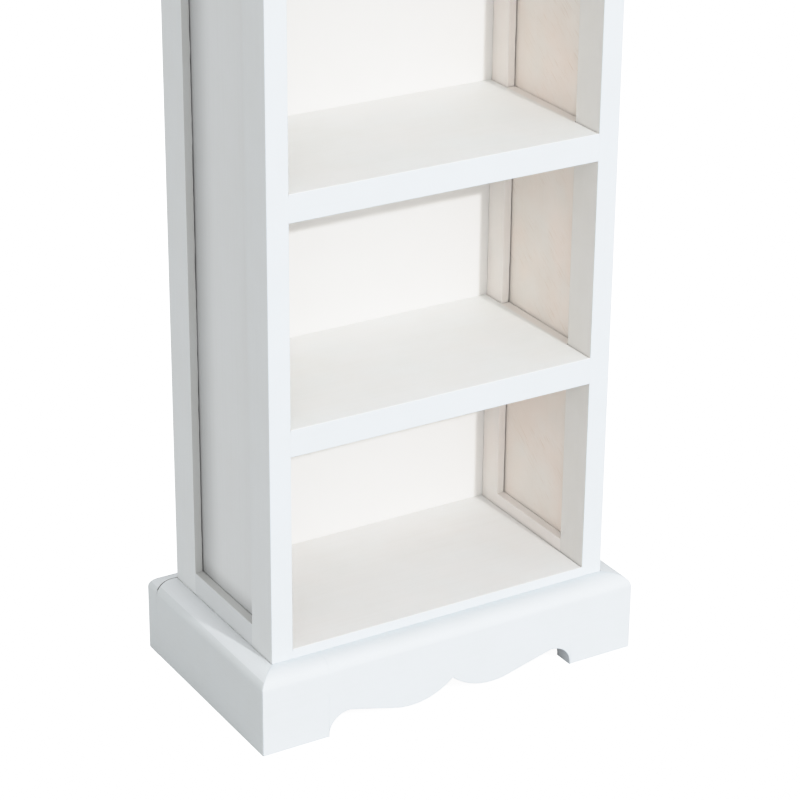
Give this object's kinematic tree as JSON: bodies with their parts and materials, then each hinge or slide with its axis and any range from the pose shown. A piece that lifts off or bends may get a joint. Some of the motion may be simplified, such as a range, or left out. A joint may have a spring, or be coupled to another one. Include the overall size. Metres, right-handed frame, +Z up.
{
  "type": "bookcase",
  "caption": "Small narrow free-standing bookcase in white painted wood, frame-and-panel sides, fixed shelves, scalloped plinth and plain cornice.",
  "frame": {"origin": "centre of the footprint on the floor, under the middle of the overall box", "axes": "+Z up, -Y is the open front, +X to the right seen from the front"},
  "size_m": [0.352, 0.2094, 0.848],
  "materials": {
    "painted_frame": "satin white paint, brushed along the grain",
    "painted_moulding": "satin white paint on rounded boards",
    "painted_shelf": "white paint with faint grain and roller texture",
    "back_sheet": "smooth white painted sheet",
    "thin_panel": "thin panel under a rough, slightly beige coat of white paint",
    "bare_softwood": "bare sawn softwood, hidden under the carcass",
    "beech_dowel": "smooth turned beech",
    "steel_fixings": "plain zinc-plated steel"
  },
  "bodies": {
    "root": {"left_front_stile": "painted_frame", "left_rear_stile": "painted_frame", "left_top_rail": "painted_frame", "left_bottom_rail": "painted_frame", "left_panel": "thin_panel", "right_front_stile": "painted_frame", "right_rear_stile": "painted_frame", "right_top_rail": "painted_frame", "right_bottom_rail": "painted_frame", "right_panel": "thin_panel", "back_panel": "back_sheet", "bottom_board": "painted_shelf", "lower_shelf": "painted_shelf", "middle_shelf": "painted_shelf", "upper_shelf": "painted_shelf", "head_board": "painted_shelf", "front_base_rail": "bare_softwood", "rear_base_rail": "bare_softwood", "plinth_front": "painted_moulding", "plinth_left": "painted_moulding", "plinth_right": "painted_moulding", "plinth_rear": "painted_moulding", "cornice_front": "painted_moulding", "cornice_left": "painted_moulding", "cornice_right": "painted_moulding", "cornice_rear": "painted_moulding", "top_board": "painted_moulding", "frame_dowels": "beech_dowel", "shelf_dowels": "beech_dowel", "top_dowels": "beech_dowel", "plinth_screws": "steel_fixings", "cornice_pins": "steel_fixings", "back_pins": "steel_fixings"}
  },
  "joints": []
}
